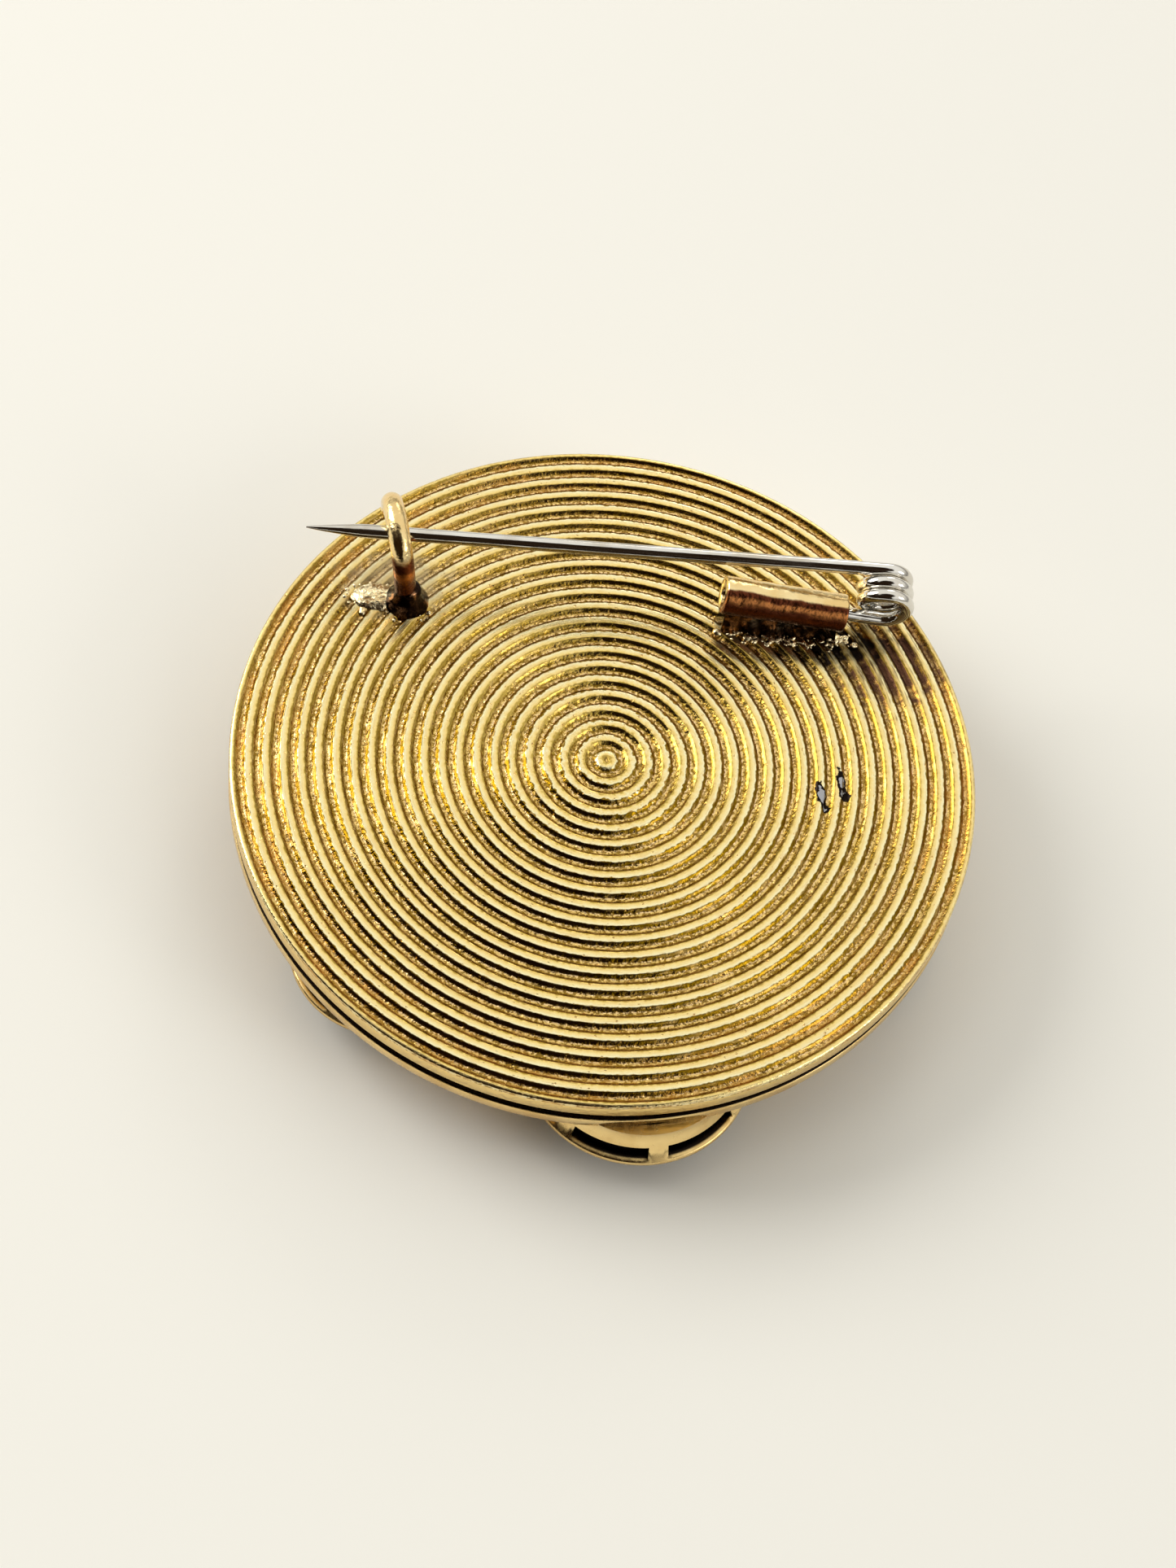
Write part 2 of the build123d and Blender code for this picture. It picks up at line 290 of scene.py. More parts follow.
def connect(tree, shader, colour=None, roughness=None, height=None, depth_mm=0.02):
    """Colour, roughness and a bump of this depth, to the shader."""
    if colour is not None:
        tree.links.new(colour, shader.inputs["Base Color"])
    if roughness is not None:
        tree.links.new(roughness, shader.inputs["Roughness"])
    if height is not None:
        bump = add(tree, "Bump", {"Height": height, "Strength": 1.0, "Distance": depth_mm * MM})
        tree.links.new(bump.outputs[0], shader.inputs["Normal"])
    print("material", shader.label, "has", len(tree.nodes), "nodes")


# %% [markdown]
# ## Ridged gold
#
# The back was struck from one die: satin tops with a painted highlight along their outer edge,
# walls painted dark as shade, and floors left as rough as the die. The colour comes from where
# a point lies between two floors, and the roughness from its height, with the crown taken away
# so that the tops are level with zero. The soldering left a black burn beside the tube, a brown
# bloom over the nearest ridges and a grey smear round the hook. Two spots have lost their
# plating, and the groove between the two plates is painted black as shade.

# %% Sizes of the back that its material and its outline share
plate_r = 21.0
ridge_count, rim_share = 21, 0.54
ridge_pitch = plate_r / (ridge_count + rim_share)
groove_depth = 0.17
back_t = 1.2
crown, crown_power = 0.4, 3.0   # the middle of the back stands this much above its rim
print("ridge pitch", round(ridge_pitch, 4), "mm")

# %% Colours of the ridged gold
gold_colour = (0.96, 0.71, 0.25, 1)
pale_gold = (0.99, 0.81, 0.38, 1)
# Painted highlight: the tops turn from gold to pale to this near white towards their outer edge
painted_highlight_gold = (1.0, 0.92, 0.57, 1)
worn_gold = (0.82, 0.56, 0.22, 1)
side_gold = (0.95, 0.69, 0.26, 1)
# The next three colours paint shade on the ridge walls; the darkest also colours the floors' mottle
olive_gold = (0.56, 0.39, 0.08, 1)
shaded_wall_gold = (0.25, 0.14, 0.004, 1)
wall_shade_and_mottle_gold = (0.24, 0.13, 0.008, 1)
floor_gold = (0.80, 0.55, 0.18, 1)
pink_gold = (0.95, 0.68, 0.38, 1)
deep_gold = (0.50, 0.24, 0.05, 1)
burnt_brown = (0.10, 0.045, 0.025, 1)
# Black of the burn and of the lost plating's edge, also used as painted shade between the plates and inside
# the settings
soot_and_shade = (0.012, 0.008, 0.006, 1)
bare_metal = (0.40, 0.40, 0.42, 1)
flux_grey = (0.42, 0.36, 0.24, 1)

# %% Ridged gold: where a point lies, by its height, radius and place between two floors
ridged_gold, tree, shader = metal("ridged_gold")
spot = place_in_mm(tree)
level = add(tree, "SeparateXYZ", {0: spot}).outputs["Z"]
radius = add(tree, "VectorMath", {0: spot, 1: (1, 1, 0)}, operation="MULTIPLY").outputs[0]
radius = add(tree, "VectorMath", {0: radius}, operation="LENGTH").outputs["Value"]
share = math(tree, "POWER", math(tree, "DIVIDE", radius, plate_r), crown_power)
lift = math(tree, "MULTIPLY", math(tree, "SUBTRACT", 1.0, share), crown)
level = math(tree, "SUBTRACT", level, lift)
groove = ramp(tree, level, -0.01, -0.10)
floor = ramp(tree, level, -0.07, -0.15)
torn = ramp(tree, level, -0.09, -0.16, 0.35, 1.0)
torn = math(tree, "MULTIPLY", ramp(tree, level, -0.005, -0.03), torn)
round_it = add(tree, "VectorMath", {0: spot, 1: (1, 1, 0)}, operation="MULTIPLY").outputs[0]
round_it = add(tree, "VectorMath", {0: round_it}, operation="NORMALIZE").outputs[0]
across = add(tree, "CombineXYZ", {"Z": math(tree, "MULTIPLY", radius, 8.0)}).outputs[0]
streaks = add(tree, "VectorMath", {0: round_it, 1: (14, 14, 14), 2: across}, operation="MULTIPLY_ADD")
streak = add(tree, "TexNoise", {"Vector": streaks.outputs[0], "Scale": 1.0, "Detail": 3.0}).outputs[0]
ragged = add(tree, "TexNoise", {"Vector": spot, "Scale": 3.4, "Detail": 3.0}).outputs[0]
ragged = math(tree, "SUBTRACT", ragged, 0.5)
ragged = math(tree, "MULTIPLY", ragged, ramp(tree, radius, 2.0, 8.0, 0.55, 0.22))
phase = math(tree, "FRACT", math(tree, "ADD", math(tree, "DIVIDE", radius, ridge_pitch), ragged))

# %% Ridged gold: colour bands across each ridge, with painted shade on the walls and a painted highlight on the tops, then worn streaks and pits
# From one floor outwards: inner wall, top, outer wall and the next floor
# The wall bands are painted shade, and the bright band at the top's outer edge is a painted highlight
BANDS = [
    (0.06, wall_shade_and_mottle_gold), (0.16, olive_gold), (0.26, olive_gold), (0.34, gold_colour),
    (0.46, pale_gold), (0.60, painted_highlight_gold), (0.66, shaded_wall_gold), (0.82, shaded_wall_gold),
    (0.87, pink_gold), (0.94, floor_gold),
]
bands = add(tree, "ValToRGB", {"Fac": phase})
bands.color_ramp.elements[0].color = floor_gold
bands.color_ramp.elements[1].color = floor_gold
for where, band in BANDS:
    bands.color_ramp.elements.new(where).color = band
# Painted shade on the inner walls, stronger further out from the middle
inner_wall_shade = math(tree, "MULTIPLY", ramp(tree, phase, 0.02, 0.06), ramp(tree, phase, 0.30, 0.24))
inner_wall_shade = math(tree, "MULTIPLY", inner_wall_shade, ramp(tree, radius, 5.0, 13.0, 0.0, 0.6))
mottle = add(tree, "TexNoise", {"Vector": spot, "Scale": 5.5, "Detail": 2.0}).outputs[0]
mottle = math(tree, "MULTIPLY", ramp(tree, mottle, 0.51, 0.46), floor)
struck = mix(tree, inner_wall_shade, bands.outputs["Color"], wall_shade_and_mottle_gold)
struck = mix(tree, math(tree, "MULTIPLY", mottle, 0.9), struck, wall_shade_and_mottle_gold)
struck = mix(tree, math(tree, "MULTIPLY", ramp(tree, streak, 0.45, 0.72), 0.45), struck, worn_gold)
side = ramp(tree, level, -groove_depth - 0.03, -groove_depth - 0.10)
struck = mix(tree, side, struck, side_gold)
pits = use(tree, cast_grain, Per_mm=2.6, Coarse_share=0.5)["Pits"]
pits = math(tree, "MULTIPLY", pits, ramp(tree, streak, 0.50, 0.66))
struck = mix(tree, math(tree, "MULTIPLY", pits, 0.7), struck, deep_gold)
rim_side = ramp(tree, radius, 15.0, 20.5, 0.0, 0.7)
in_grooves = math(tree, "MULTIPLY", math(tree, "SUBTRACT", groove, side), rim_side)
aged = use(tree, tarnish, Metal=struck, Tarnish=deep_gold, Amount=in_grooves, Patches_per_mm=0.5)

# %% Ridged gold: marks of the soldering, lost plating and painted shade in the groove under the rim
burn = use(tree, stain, Centre=(14.2, 6.7, 0), Reach=3.4, Ragged=0.4, Stretch=(0.75, 1.7, 1))["Mask"]
bloom = use(tree, stain, Centre=(17.3, 5.3, 0), Reach=4.4, Ragged=0.4, Stretch=(1, 1.1, 1))["Mask"]
smear = use(tree, stain, Centre=(-10.6, 12.6, 0), Reach=3.6, Ragged=0.35, Stretch=(0.9, 1.2, 1))["Mask"]
# The underside between the two plates is painted black as shade
shade_between_plates = ramp(tree, level, -back_t - 0.02, -back_t - 0.06)
colour = mix(tree, shade_between_plates, aged["Color"], soot_and_shade)
colour = mix(tree, math(tree, "MULTIPLY", smear, 0.5), colour, flux_grey)
patchy = ramp(tree, math(tree, "ADD", streak, math(tree, "MULTIPLY", groove, 0.35)), 0.42, 0.75)
colour = mix(tree, math(tree, "MULTIPLY", bloom, patchy), colour, burnt_brown)
colour = mix(tree, math(tree, "MULTIPLY", burn, ramp(tree, patchy, 0, 1, 0.55, 1.0)), colour, soot_and_shade)
lost = use(tree, stain, Centre=(13.1, -2.5, 0), Reach=0.70, Ragged=0.55, Stretch=(2.0, 0.7, 0))["Mask"]
lost_below = use(tree, stain, Centre=(11.8, -3.2, 0), Reach=0.50, Ragged=0.7, Stretch=(1.5, 0.6, 0))["Mask"]
bare = math(tree, "MAXIMUM", lost, lost_below)
colour = mix(tree, ramp(tree, bare, 0.02, 0.20), colour, soot_and_shade)
colour = mix(tree, ramp(tree, bare, 0.86, 0.96), colour, bare_metal)

# %% Ridged gold: satin tops, torn floors and dulled stains
grain = use(tree, cast_grain, Per_mm=5.0, Coarse_share=0.45)
rough_height = math(tree, "MULTIPLY", math(tree, "SUBTRACT", grain["Height"], 0.5), torn)
satin_height = math(tree, "MULTIPLY", streak, 0.09)
satin_height = math(tree, "SUBTRACT", satin_height, math(tree, "MULTIPLY", pits, 0.12))
surface = math(tree, "ADD", rough_height, satin_height)
dulled = math(tree, "MULTIPLY", math(tree, "MAXIMUM", bloom, smear), 0.25)
dulled = math(tree, "ADD", dulled, math(tree, "MULTIPLY", side, 0.2))
roughness = math(tree, "ADD", ramp(tree, level, -0.01, -0.06, 0.24, 0.12), dulled)
connect(tree, shader, colour, roughness, surface, depth_mm=0.15)

# %% [markdown]
# ## The ridged back
#
# A round, ridged plate is a turned shape. One outline, from the axis to the rim and back,
# is spun about Z. Every ridge repeats the same soft profile: a sloping wall, a flat top,
# another wall and a flat floor. After the spin each groove gets a small wander from a noise,
# since the die was cut by hand and the plating pooled in it.

# %% Helpers that turn and finish a piece
merge_mm = 0.0004           # points closer than this are one
sharp_from = radians(60)    # steeper edges than this stay sharp


def new_piece(name, bm, material, body="brooch", stands_for=()):
    """The mesh in millimetres becomes a smooth object that rides on its body."""
    bmesh.ops.remove_doubles(bm, verts=bm.verts, dist=merge_mm)
    bmesh.ops.recalc_face_normals(bm, faces=bm.faces)
    bmesh.ops.scale(bm, vec=(MM, MM, MM), verts=bm.verts)
    for face in bm.faces:
        face.smooth = True
    mesh = bpy.data.meshes.new(name)
    bm.to_mesh(mesh)
    bm.free()
    mesh.set_sharp_from_angle(angle=sharp_from)
    mesh.materials.append(material)
    piece = bpy.data.objects.new(name, mesh)
    scene.collection.objects.link(piece)
    if body:
        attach(piece, body)
    if stands_for:
        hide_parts(*stands_for)
    print(name, "has", sum(len(p.vertices) - 2 for p in mesh.polygons), "triangles")
    return piece


def turned(bm, outline, steps, shares=1):
    """An outline of radius and height, spun round the Z axis.

    A long spin is slow, so one share of the turn is spun, then copied and turned on.
    """
    points = [bm.verts.new((radius, 0, z)) for radius, z in outline]
    edges = [bm.edges.new(pair) for pair in zip(points, points[1:])]
    bmesh.ops.spin(
        bm, geom=points + edges, cent=(0, 0, 0), axis=(0, 0, 1), dvec=(0, 0, 0),
        angle=tau / shares, steps=steps // shares, use_merge=shares == 1,
        use_normal_flip=False, use_duplicate=False,
    )
    share = bm.verts[:] + bm.edges[:] + bm.faces[:]
    for turn in range(1, shares):
        copy = bmesh.ops.duplicate(bm, geom=share)["geom"]
        corners = [part for part in copy if isinstance(part, bmesh.types.BMVert)]
        onward = Matrix.Rotation(turn * tau / shares, 3, "Z")
        bmesh.ops.rotate(bm, cent=(0, 0, 0), matrix=onward, verts=corners)
    bmesh.ops.remove_doubles(bm, verts=bm.verts, dist=merge_mm)


# %% Outline of the back, with its ridges
neck_r, neck_low = 20.3, -1.7
# Middle of the back: radius in mm, and height as a share of the groove's depth
MIDDLE = [(0, -0.45), (0.14, -0.2), (0.26, 0.0), (0.44, 0.0), (0.55, -0.1), (0.66, -0.8), (0.76, -1.0)]
# One ridge: shares of the pitch, and of the groove's depth
RIDGE = [
    (0.06, -1.0), (0.09, -0.90), (0.235, -0.10), (0.26, -0.01), (0.33, 0.0),
    (0.59, 0.0), (0.65, -0.01), (0.675, -0.10), (0.82, -0.90), (0.85, -1.0),
]


def crown_at(radius):
    return crown * (1 - (radius / plate_r) ** crown_power)


def ridge_outline():
    """Over the ridges to the rounded rim, under it to the neck, and back to the axis."""
    outline = [(radius, depth * groove_depth) for radius, depth in MIDDLE]
    for ridge in range(1, ridge_count + 1):
        for along, depth in RIDGE:
            radius = (ridge + along) * ridge_pitch
            if radius < plate_r - 0.16:
                outline.append((radius, depth * groove_depth))
    return outline + [
        (plate_r - 0.12, -0.01), (plate_r - 0.04, -0.05), (plate_r, -0.14),
        (plate_r, -back_t + 0.12), (plate_r - 0.05, -back_t + 0.03), (plate_r - 0.15, -back_t),
        (neck_r, -back_t), (neck_r, neck_low), (neck_r - 1, neck_low), (neck_r - 1, -back_t),
        (0, -back_t),
    ]


# %% Spin the back and let its grooves wander
def wander(bm, amount):
    """Struck surfaces move with a noise, the floors and the middle most, and the middle rises."""
    for vert in bm.verts:
        depth = -vert.co.z / groove_depth
        radius = vert.co.xy.length
        if not 0 <= depth <= 1.01 or radius > plate_r - 0.01:
            continue
        if radius < plate_r - 0.4:
            share = 0.25 + 0.75 * min(1, depth * 1.5)
            push = noise.noise_vector(vert.co * 2.1) + 0.5 * noise.noise_vector(vert.co * 4.7)
            torn = 1 + 1.5 * max(0, 1 - radius / 6)
            vert.co += Vector((push.x, push.y, 0.6 * push.z)) * amount * share * torn
        vert.co.z += crown_at(radius)


noise_seed = 21     # without one, a noise vector is different each time Blender starts
noise.seed_set(noise_seed)
bm = bmesh.new()
turned(bm, ridge_outline(), steps=420, shares=20)
wander(bm, 0.03)
new_piece("ridged_back", bm, ridged_gold, stands_for=["back_plate"])

# %% [markdown]
# ## Wire parts
#
# The hook, the pin and its coil are round wire. One ring of points is extruded along a path
# from station to station, and every ring is turned with the path, so the wire never twists.

# %% A round wire along a path
def mark(bm, name, share):
    """Keep a number at every point, worked out from its place, for the material to read."""
    layer = bm.verts.layers.float.new(name)
    for vert in bm.verts:
        vert[layer] = share(vert.co)


def drawn_along(bm, edges, frames):
    """Extrude a closed outline from each frame to the next, and close its far end."""
    for before, after in zip(frames, frames[1:]):
        made = bmesh.ops.extrude_edge_only(bm, edges=edges)["geom"]
        ring = [part for part in made if isinstance(part, bmesh.types.BMVert)]
        edges = [part for part in made if isinstance(part, bmesh.types.BMEdge)]
        edges = [edge for edge in edges if all(vert in ring for vert in edge.verts)]
        bmesh.ops.transform(bm, matrix=after @ before.inverted(), verts=ring)
    bmesh.ops.contextual_create(bm, geom=edges)


def swept(bm, path, radii, sides=20):
    """Path is a list of points, and radii gives the wire's radius at each."""
    path = [Vector(point) for point in path]
    heading = Vector((0, 0, 1))
    turn = Matrix.Identity(3)
    frames = []
    for k, (point, radius) in enumerate(zip(path, radii)):
        ahead = (path[min(k + 1, len(path) - 1)] - path[max(k - 1, 0)]).normalized()
        turn = heading.rotation_difference(ahead).to_matrix() @ turn
        heading = ahead
        frames.append(Matrix.Translation(point) @ turn.to_4x4() @ Matrix.Scale(radius, 4))
    circle = bmesh.ops.create_circle(bm, cap_ends=True, segments=sides, radius=1.0, matrix=frames[0])
    ring = circle["verts"]
    drawn_along(bm, list({edge for vert in ring for edge in vert.link_edges}), frames)


pin_turn = radians(-8.9)    # from the direction of the pin to the brooch's own X
onto_brooch = Matrix.Rotation(pin_turn, 3, "Z")


def in_pin_frame(bm):
    """From the frame where the pin runs along X to the brooch's own."""
    bmesh.ops.rotate(bm, cent=(0, 0, 0), matrix=onto_brooch, verts=bm.verts)


# %% Steel: bright drawn wire, with fine lengthwise lines and a few dull patches
steel = (0.82, 0.80, 0.75, 1)
dull_steel = (0.46, 0.38, 0.27, 1)

pin_steel, tree, shader = metal("pin_steel")
along = add(tree, "VectorRotate", {"Vector": place_in_mm(tree), "Axis": (0, 0, 1), "Angle": -pin_turn})
lines = add(tree, "VectorMath", {0: along.outputs[0], 1: (0.25, 9.0, 9.0)}, operation="MULTIPLY").outputs[0]
drawn = add(tree, "TexNoise", {"Vector": lines, "Scale": 1.0, "Detail": 3.0}).outputs[0]
worn = use(tree, tarnish, Metal=steel, Tarnish=dull_steel, Amount=0.6, Patches_per_mm=0.35)
dulled = math(tree, "MULTIPLY", worn["Mask"], 0.10)
roughness = math(tree, "ADD", ramp(tree, drawn, 0.3, 0.7, 0.06, 0.14), dulled)
connect(tree, shader, worn["Color"], roughness, drawn, depth_mm=0.006)

# %% Sizes of the pin and its tube, in the pin's frame
wire_r = 0.4
pin_across, pin_z = 11.52, 4.2
point_at, taper_at, coil_at = -17.6, -14.4, 15.5
coil_r, coil_pitch, coil_turns = 1.25, 0.87, 2.5
coil_z, tail_across = pin_z - coil_r, pin_across - 2 * coil_pitch
tube_tilt, tube_l, tube_r, tube_from_coil = radians(8.5), 7.2, 1.1, 2.2
tail_depth = 0.9                    # how far the tail runs into the tube
print("pin", round(coil_at - point_at, 1), "mm from its coil to its point")

# %% The coil, whose tail runs down into the tube
def tube_point(from_mouth):
    """A point on the tube's axis, counted from its mouth towards its far end."""
    start = coil_at - coil_r * sin(tube_tilt)
    along = (start - (coil_at - tube_from_coil)) / cos(tube_tilt) + from_mouth
    height = coil_z - coil_r * cos(tube_tilt) + along * sin(tube_tilt)
    return (start - along * cos(tube_tilt), tail_across, height)


def coil_point(turns):
    """Right halves stay level across, left halves climb on to the next turn."""
    whole, part = divmod(turns, 1)
    climb = max(0, 2 * part - 1)
    climb = climb * climb * (3 - 2 * climb)
    a = tau * turns
    across = pin_across - coil_pitch * (whole + climb)
    return (coil_at + coil_r * sin(a), max(across, tail_across), coil_z + coil_r * cos(a))


coil_steps = 100
path = [coil_point(coil_turns * k / coil_steps) for k in range(coil_steps + 1)]
path += [coil_point(coil_turns + tube_tilt / tau * share) for share in (0.5, 1)]
path += [tube_point(share) for share in (-0.8, 0, tail_depth)]
bm = bmesh.new()
swept(bm, path, [wire_r] * len(path))
in_pin_frame(bm)
new_piece("wire_coil", bm, pin_steel, stands_for=["pin_coil"])

# %% The arm: one straight wire that begins in the end of the coil and tapers to its point
arm_stations = [coil_at + 0.03, coil_at] + [coil_at - 0.25 * k for k in range(1, 15)]
arm_stations += [11, 8, 4, 0, -4, -8, -11, -13, -14.2]
path = [(x, pin_across, pin_z) for x in arm_stations]
radii = [wire_r - 0.004] + [wire_r] * (len(path) - 1)
for share in (0.05, 0.15, 0.35, 0.6, 0.8, 0.92, 1.0):
    path.append((taper_at + (point_at - taper_at) * share, pin_across, pin_z))
    radii.append(wire_r * (1 - share) ** 0.85 + 0.05 * share)
bm = bmesh.new()
swept(bm, path, radii)
in_pin_frame(bm)
pin = new_piece("pin_wire", bm, pin_steel, body=None, stands_for=["pin_arm"])
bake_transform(pin)

# %% Plated wire: smooth gold that mirrors the room, browned near the solder, with an orange band in the browning that is partly a painted highlight
plate_gold = (0.96, 0.78, 0.42, 1)
plate_tarnish = (0.80, 0.50, 0.16, 1)
scorched_brown = (0.13, 0.034, 0.014, 1)
scorch_orange_and_highlight = (0.52, 0.20, 0.06, 1)

plated, tree, shader = metal("plated_wire")
aged = use(tree, tarnish, Metal=plate_gold, Tarnish=plate_tarnish, Amount=0.6, Patches_per_mm=0.5)
scorch = add(tree, "Attribute", attribute_name="scorch").outputs["Fac"]
flame = add(tree, "TexNoise", {"Vector": place_in_mm(tree), "Scale": 0.9, "Detail": 5.0}).outputs[0]
scorch = math(tree, "ADD", scorch, math(tree, "MULTIPLY", math(tree, "SUBTRACT", flame, 0.5), 0.4))
# An orange band at the edge of the browning: heat tint, and partly a painted highlight
orange_band_and_highlight = math(tree, "MULTIPLY", ramp(tree, scorch, 0.78, 0.92), ramp(tree, scorch, 1.22, 1.02))
scorch = ramp(tree, scorch, 0.42, 0.58)
scorched = mix(tree, orange_band_and_highlight, scorched_brown, scorch_orange_and_highlight)
colour = mix(tree, scorch, aged["Color"], scorched)
fine = use(tree, cast_grain, Per_mm=3.4, Coarse_share=0.6)
dulled = math(tree, "MULTIPLY", scorch, 0.10)
roughness = math(tree, "ADD", ramp(tree, fine["Height"], 0.35, 0.65, 0.10, 0.22), dulled)
connect(tree, shader, colour, roughness, fine["Height"], depth_mm=0.09)

# %% Burnt solder: dark and glassy flux, with a little brown metal showing through; under the tube its black is also painted shade
black_flux_and_shade = (0.018, 0.009, 0.006, 1)
brown_metal = (0.42, 0.21, 0.10, 1)

solder, tree, shader = metal("burnt_solder_and_shade")
grain = use(tree, cast_grain, Per_mm=2.2, Coarse_share=0.6)
bare = ramp(tree, grain["Height"], 0.48, 0.62)
colour = mix(tree, bare, black_flux_and_shade, brown_metal)
connect(tree, shader, colour, ramp(tree, bare, 0, 1, 0.10, 0.22), grain["Height"], depth_mm=0.14)

# %% Bright solder: bare grains that never took the burn
solder_gold = (0.94, 0.80, 0.50, 1)
solder_shade = (0.30, 0.17, 0.06, 1)

bright_solder, tree, shader = metal("bright_solder")
grain = use(tree, cast_grain, Per_mm=4.5, Coarse_share=0.5)
low = ramp(tree, grain["Height"], 0.50, 0.36)
colour = mix(tree, low, solder_gold, solder_shade)
connect(tree, shader, colour, ramp(tree, low, 0, 1, 0.10, 0.3), grain["Height"], depth_mm=0.16)

# %% Hook: stem, crook and rounded end
hook_at, hook_across = -11.64, 9.64
hook_wire_r, hook_stem, crook_r, hook_sweep = 0.62, 3.3, 2.1, 175
hook_yaw, hook_lean = radians(12.3), radians(5.5)
scorch_middle, scorch_fade = 4.5, 2.4   # height where the browning ends, and how softly


def hook_point(along, height):
    """A point of the hook's plane: along its opening and up its stem."""
    return Vector((
        hook_at - along * sin(hook_yaw) - height * sin(hook_lean),
        hook_across + along * cos(hook_yaw),
        height * cos(hook_lean),
    ))


def hook_scorch(co):
    """More than a half on the lower stem, and less up the crook and away from the stem."""
    return 0.5 - (co.z - scorch_middle) / scorch_fade - max(0, co.y - hook_across - hook_wire_r)


path = [hook_point(0, height) for height in (-0.4, 0.3, 1.0, 1.6, 2.2, 2.8)]
for k in range(25):
    a = radians(180 - hook_sweep * k / 24)
    path.append(hook_point(crook_r * (1 + cos(a)), hook_stem + crook_r * sin(a)))
radii = [hook_wire_r] * len(path)
last, ahead = path[-1], (path[-1] - path[-2]).normalized()
for k in range(1, 7):
    a = radians(88 * k / 6)
    path.append(last + ahead * hook_wire_r * sin(a))
    radii.append(hook_wire_r * cos(a))
bm = bmesh.new()
swept(bm, path, radii, sides=28)
mark(bm, "scorch", hook_scorch)
in_pin_frame(bm)
new_piece("hook_wire", bm, plated, stands_for=["back_plate"])

# %% Helpers for lumps and grains of solder
def roughen(bm, amount, per_mm):
    """Push every point out or in, by a noise."""
    bm.normal_update()
    moved = {}
    for vert in bm.verts:
        push = noise.noise(vert.co * per_mm) + 0.5 * noise.noise(vert.co * per_mm * 2.3)
        moved[vert] = vert.co + vert.normal * push * amount
    for vert, co in moved.items():
        vert.co = co


def crumbs(bm, count, centre, reach, smallest, largest, seed):
    """Grains of solder, scattered round a point and denser near it."""
    chance = random.Random(seed)
    for k in range(count):
        away, turn = chance.random() ** 0.8, chance.random() * tau
        x = centre[0] + reach[0] * away * cos(turn)
        y = centre[1] + reach[1] * away * sin(turn)
        size = smallest + (largest - smallest) * chance.random() ** 2
        made = bmesh.ops.create_icosphere(bm, subdivisions=2, radius=size)["verts"]
        flat = Matrix.Diagonal((1 + 0.5 * chance.random(), 1, 0.6, 1))
        spot = Matrix.Translation((x, y, crown_at(Vector((x, y)).length) - 0.3 * size))
        bmesh.ops.transform(bm, matrix=spot @ Matrix.Rotation(turn, 4, "Z") @ flat, verts=made)


# %% Solder round the foot of the hook: a bead, a splash and crumbs
# Outline of the bead round the stem: radius and height
BEAD = [
    (0, -0.2), (1.36, -0.2), (1.28, 0.20), (1.14, 0.42), (1.00, 0.66), (0.88, 0.95), (0.78, 1.25),
    (0.70, 1.5), (0.6, 1.6), (0, 1.65),
]
splash_at, splash_half = (hook_at - 1.75, hook_across + 0.1, 0.1), (1.45, 0.95, 0.40)

bm = bmesh.new()
turned(bm, BEAD, 48)
bmesh.ops.translate(bm, vec=(hook_at, hook_across, 0.1), verts=bm.verts)
roughen(bm, 0.10, 1.3)
in_pin_frame(bm)
new_piece("hook_bead", bm, solder, stands_for=["back_plate"])

bm = bmesh.new()
splash = bmesh.ops.create_uvsphere(bm, u_segments=32, v_segments=12, radius=1.0)["verts"]
lay = Matrix.Translation(splash_at) @ Matrix.Diagonal((*splash_half, 1))
bmesh.ops.transform(bm, matrix=lay, verts=splash)
crumbs(
    bm, 60, centre=(hook_at - 1.9, hook_across + 0.1), reach=(1.7, 1.1),
    smallest=0.07, largest=0.26, seed=3,
)
crumbs(
    bm, 16, centre=(hook_at + 0.2, hook_across - 0.9), reach=(1.5, 0.6),
    smallest=0.05, largest=0.16, seed=5,
)
roughen(bm, 0.10, 2.6)
in_pin_frame(bm)
new_piece("hook_splash", bm, bright_solder, stands_for=["back_plate"])

# %% Hinge tube, open for the tail at its mouth and for a short way at its far end
bore, far_depth = wire_r + 0.05, 1.2
TUBE = [
    (0, tail_depth), (bore, tail_depth), (bore, 0.08), (bore + 0.08, 0), (tube_r - 0.10, 0),
    (tube_r - 0.03, 0.03), (tube_r, 0.10), (tube_r, 0.16), (tube_r, tube_l / 2),
    (tube_r, tube_l - 0.16), (tube_r, tube_l - 0.10), (tube_r - 0.03, tube_l - 0.03),
    (tube_r - 0.10, tube_l), (bore + 0.08, tube_l), (bore, tube_l - 0.08),
    (bore, tube_l - far_depth), (0, tube_l - far_depth),
]
bm = bmesh.new()
turned(bm, TUBE, 96)
axis = (Vector(tube_point(1)) - Vector(tube_point(0))).to_track_quat("Z", "Y").to_matrix().to_4x4()
bmesh.ops.transform(bm, matrix=Matrix.Translation(tube_point(0)) @ axis, verts=bm.verts)
mark(bm, "scorch", lambda co: 0.5 + 1.2 * ((tail_across - co.y) / tube_r - 0.3))
in_pin_frame(bm)
new_piece("hinge_tube", bm, plated, stands_for=["back_plate"])

